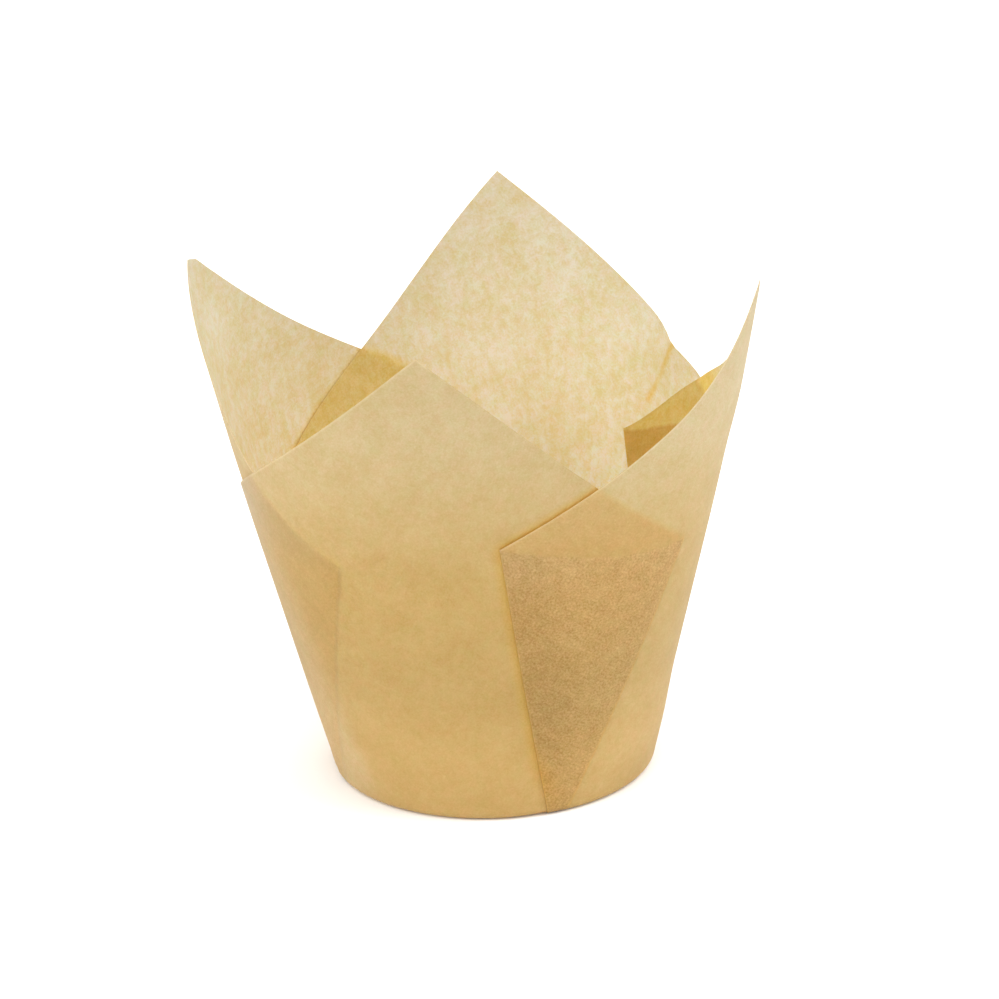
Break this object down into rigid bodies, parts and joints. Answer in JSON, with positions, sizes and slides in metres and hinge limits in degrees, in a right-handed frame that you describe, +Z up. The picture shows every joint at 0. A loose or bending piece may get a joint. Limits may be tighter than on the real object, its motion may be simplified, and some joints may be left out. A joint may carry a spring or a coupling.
{
  "type": "cupcake liner",
  "caption": "Tulip baking cup: a square sheet of unbleached greaseproof paper pressed into a tapered round cup, its corners standing up as pointed petals with knife pleats between them.",
  "frame": {"origin": "centre of the round base, on its underside, where the cup stands", "axes": "+Z up out of the mouth; -Y towards the pictured front; +X to the right of it"},
  "size_m": [0.0868, 0.0922, 0.0835],
  "materials": {
    "liner_paper": "matte, slightly translucent unbleached greaseproof paper"
  },
  "bodies": {
    "root": {"liner": "liner_paper"}
  },
  "joints": []
}
